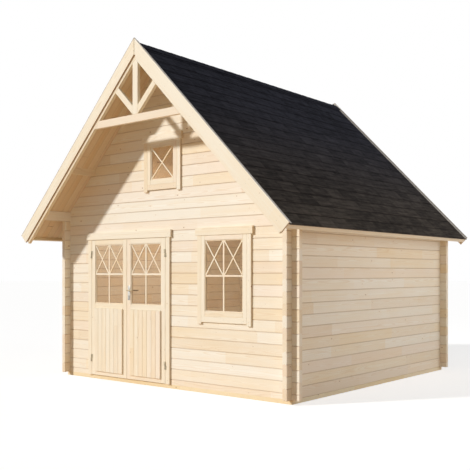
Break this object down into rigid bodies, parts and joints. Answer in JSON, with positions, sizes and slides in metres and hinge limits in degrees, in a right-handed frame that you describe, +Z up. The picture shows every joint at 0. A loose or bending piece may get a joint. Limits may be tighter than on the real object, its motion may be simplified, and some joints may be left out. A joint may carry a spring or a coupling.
{
  "type": "log cabin",
  "caption": "Square log cabin with interlocked tongue-and-groove corners, a steep shingled saddle roof on purlins, an open front truss, a glazed double door and fixed windows.",
  "frame": {"origin": "on the ground, under the middle of the box round the roof", "axes": "+Z up, the door and the window face -Y, the ridge runs along Y"},
  "size_m": [4.6502, 4.628, 4.351],
  "materials": {
    "spruce": "raw planed spruce logs, matte",
    "planed_spruce": "fine planed spruce joinery, matte",
    "board": "planed tongue and groove boards, matte",
    "shingle": "mineral surfaced bitumen shingle, rough",
    "steel": "zinc plated steel",
    "glass": "clear window glass"
  },
  "bodies": {
    "cabin": {"foundation_beams": "spruce", "floor_joists": "spruce", "front_wall_left": "spruce", "front_wall_right": "spruce", "front_gable": "spruce", "back_wall": "spruce", "back_gable": "spruce", "left_wall": "spruce", "right_wall": "spruce", "eaves_logs": "spruce", "middle_purlins": "spruce", "ridge_purlin": "spruce", "front_bargeboards": "spruce", "back_bargeboards": "spruce", "eaves_fascias": "spruce", "truss_rafters": "spruce", "truss_collar_beam": "spruce", "truss_king_post": "spruce", "truss_struts": "spruce", "door_frame": "planed_spruce", "door_stops": "planed_spruce", "door_threshold": "planed_spruce", "door_casing": "planed_spruce", "window_frame": "planed_spruce", "window_casing": "planed_spruce", "window_sash": "planed_spruce", "loft_window_frame": "planed_spruce", "loft_window_casing": "planed_spruce", "loft_window_sash": "planed_spruce", "floor_deck": "board", "left_roof_boards": "board", "right_roof_boards": "board", "left_shingles": "shingle", "right_shingles": "shingle", "ridge_cap": "shingle", "door_hinge_pins": "steel", "window_glass": "glass", "loft_window_glass": "glass"},
    "left_door": {"left_door_leaf": "planed_spruce", "left_door_boards": "planed_spruce", "left_door_glass": "glass", "left_door_sleeves": "steel"},
    "right_door": {"right_door_leaf": "planed_spruce", "right_door_boards": "planed_spruce", "right_door_glass": "glass", "right_door_sleeves": "steel", "lock_plate": "steel"},
    "lever": {"door_lever": "steel"}
  },
  "joints": [
    {"name": "left_door_hinge", "type": "hinge", "parent": "cabin", "child": "left_door", "pos_m": [-1.415, -1.802, 1], "axis": [0, 0, -1], "range_deg": [0, 110]},
    {"name": "right_door_hinge", "type": "hinge", "parent": "cabin", "child": "right_door", "pos_m": [0.021, -1.802, 1], "axis": [0, 0, 1], "range_deg": [0, 110]},
    {"name": "door_lever_turn", "type": "hinge", "parent": "right_door", "child": "lever", "pos_m": [-0.652, -1.798, 1.236], "axis": [0, 1, 0], "range_deg": [0, 40], "stiffness_Nm_per_rad": 0.6}
  ]
}
